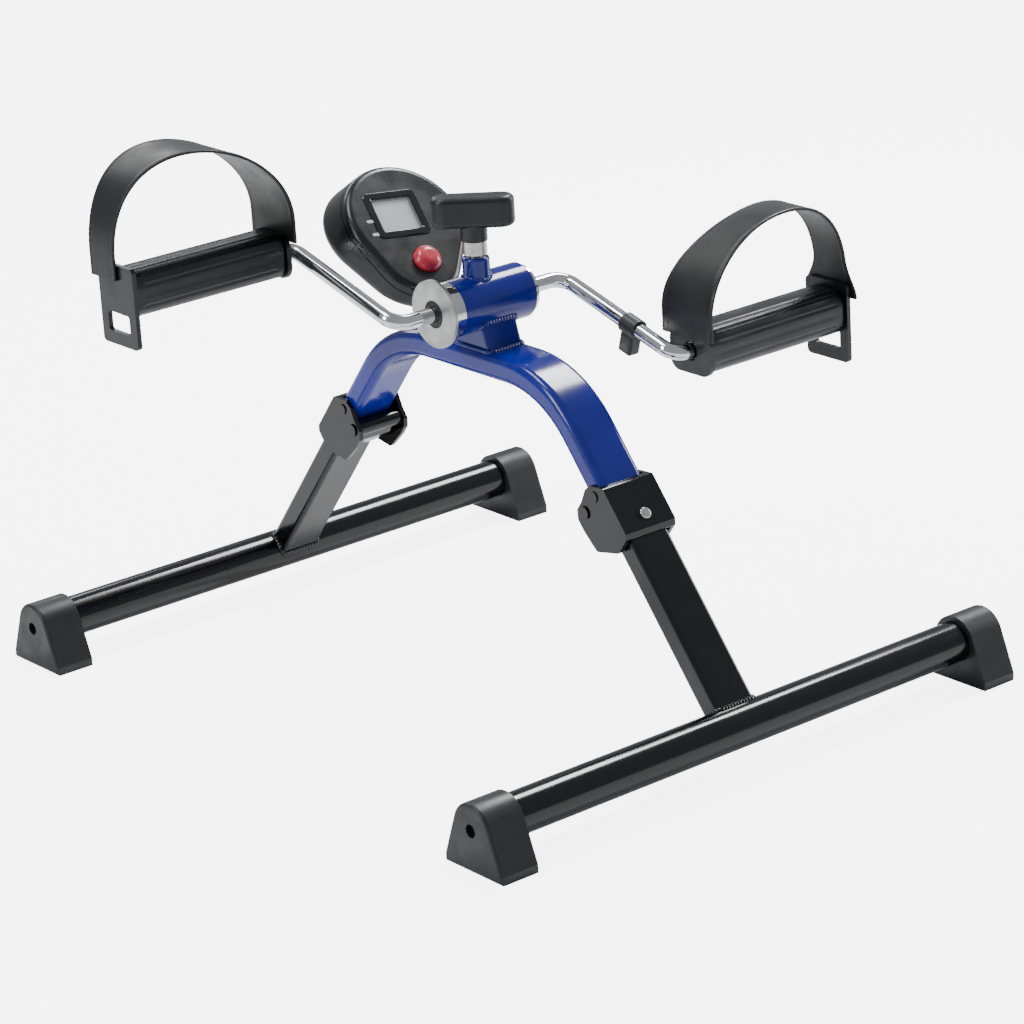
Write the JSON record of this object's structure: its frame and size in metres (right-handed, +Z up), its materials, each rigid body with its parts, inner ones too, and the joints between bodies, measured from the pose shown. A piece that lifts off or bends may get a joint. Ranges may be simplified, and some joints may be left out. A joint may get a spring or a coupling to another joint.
{
  "type": "pedal exerciser",
  "caption": "Folding floor-standing pedal exerciser: flat-tube arch on folding legs and floor bars, cranked rod, strapped pedals, tension knob and small display.",
  "frame": {"origin": "on the floor, midway between the two floor bars and midway along them", "axes": "+Z up; +X to the user's right, along the crank axle; +Y away from the user, so the user sits at -Y"},
  "size_m": [0.4, 0.489, 0.3476],
  "materials": {
    "blue_enamel": "gloss",
    "black_enamel": "gloss",
    "chrome": "polished",
    "zinc": "satin",
    "steel": "satin",
    "foot_rubber": "matt",
    "pedal_plastic": "satin",
    "strap_rubber": "matt",
    "case_plastic": "satin",
    "knob_plastic": "satin",
    "red_plastic": "gloss",
    "clear_window": "gloss",
    "lcd": "satin",
    "nylon": "satin",
    "board": "satin",
    "cell": "gloss",
    "friction_pad": "matt",
    "magnet": "satin"
  },
  "bodies": {
    "frame": {"arch_tube": "blue_enamel", "crank_shell": "blue_enamel", "shell_saddle": "blue_enamel", "tension_boss": "blue_enamel", "left_bearing": "nylon", "right_bearing": "nylon", "left_lock_ring": "chrome", "right_lock_ring": "chrome", "left_dust_washer": "zinc", "bracket_rivets": "black_enamel", "front_leg_bracket": "black_enamel", "rear_leg_bracket": "black_enamel", "front_hinge_pin": "black_enamel", "rear_hinge_pin": "black_enamel", "display_bracket": "black_enamel", "bracket_screws": "zinc", "display_face": "case_plastic", "display_back": "case_plastic", "display_window": "clear_window", "lcd_panel": "lcd", "lcd_holder": "nylon", "circuit_board": "board", "battery_cell": "cell", "button_switch": "case_plastic", "reed_switch": "clear_window"},
    "front_leg": {"front_leg_tube": "black_enamel", "front_hinge_knuckle": "black_enamel", "front_floor_bar": "black_enamel", "front_left_foot": "foot_rubber", "front_right_foot": "foot_rubber"},
    "rear_leg": {"rear_leg_tube": "black_enamel", "rear_hinge_knuckle": "black_enamel", "rear_floor_bar": "black_enamel", "rear_left_foot": "foot_rubber", "rear_right_foot": "foot_rubber"},
    "front_lock": {"front_lock_plunger": "zinc"},
    "rear_lock": {"rear_lock_plunger": "zinc"},
    "crank": {"crank_rod": "chrome", "axle_collars": "steel", "spindle_nuts": "steel", "magnet_holder": "pedal_plastic", "crank_magnet": "magnet"},
    "left_pedal": {"left_pedal_grip": "pedal_plastic", "left_pedal_bushes": "nylon", "left_pedal_inner_plate": "pedal_plastic", "left_pedal_outer_plate": "pedal_plastic", "left_pedal_strap": "strap_rubber"},
    "right_pedal": {"right_pedal_grip": "pedal_plastic", "right_pedal_bushes": "nylon", "right_pedal_inner_plate": "pedal_plastic", "right_pedal_outer_plate": "pedal_plastic", "right_pedal_strap": "strap_rubber"},
    "brake": {"brake_shoe": "friction_pad"},
    "tension_control": {"tension_knob": "knob_plastic", "tension_screw": "steel", "knob_washer": "zinc"},
    "reset_button": {"display_button": "red_plastic"}
  },
  "joints": [
    {"name": "crank_spin", "type": "hinge", "parent": "frame", "child": "crank", "pos_m": [-0.003, -0.005, 0.2387], "axis": [1, 0, 0], "continuous": true},
    {"name": "left_pedal_spin", "type": "hinge", "parent": "crank", "child": "left_pedal", "pos_m": [-0.133, 0.09593, 0.26764], "axis": [1, 0, 0], "continuous": true},
    {"name": "right_pedal_spin", "type": "hinge", "parent": "crank", "child": "right_pedal", "pos_m": [0.127, -0.10593, 0.20976], "axis": [1, 0, 0], "continuous": true},
    {"name": "front_leg_fold", "type": "hinge", "parent": "frame", "child": "front_leg", "pos_m": [0, -0.11196, 0.13464], "axis": [1, 0, 0], "range_deg": [0, 144]},
    {"name": "rear_leg_fold", "type": "hinge", "parent": "frame", "child": "rear_leg", "pos_m": [0, 0.11196, 0.13464], "axis": [-1, 0, 0], "range_deg": [0, 124]},
    {"name": "front_lock_pull", "type": "slide", "parent": "frame", "child": "front_lock", "axis": [0, -0.7815, 0.6239], "range_m": [0, 0.002], "stiffness_N_per_m": 500, "springref_m": -0.001},
    {"name": "rear_lock_pull", "type": "slide", "parent": "frame", "child": "rear_lock", "axis": [0, 0.7815, 0.6239], "range_m": [0, 0.002], "stiffness_N_per_m": 500, "springref_m": -0.001},
    {"name": "brake_feed", "type": "slide", "parent": "frame", "child": "brake", "axis": [0, 0, 1], "range_m": [-0.00126, 0.0002]},
    {"name": "tension_turn", "type": "hinge", "parent": "brake", "child": "tension_control", "pos_m": [-0.0045, -0.005, 0.285], "axis": [0, 0, 1], "range_deg": [-360, 30]},
    {"name": "button_press", "type": "slide", "parent": "frame", "child": "reset_button", "axis": [0, 0.682, -0.7314], "range_m": [0, 0.0012], "stiffness_N_per_m": 800, "springref_m": -0.0005}
  ],
  "couplings": [
    {"joint": "brake_feed", "follows": "tension_turn", "m_per_rad": 0.00019894}
  ]
}
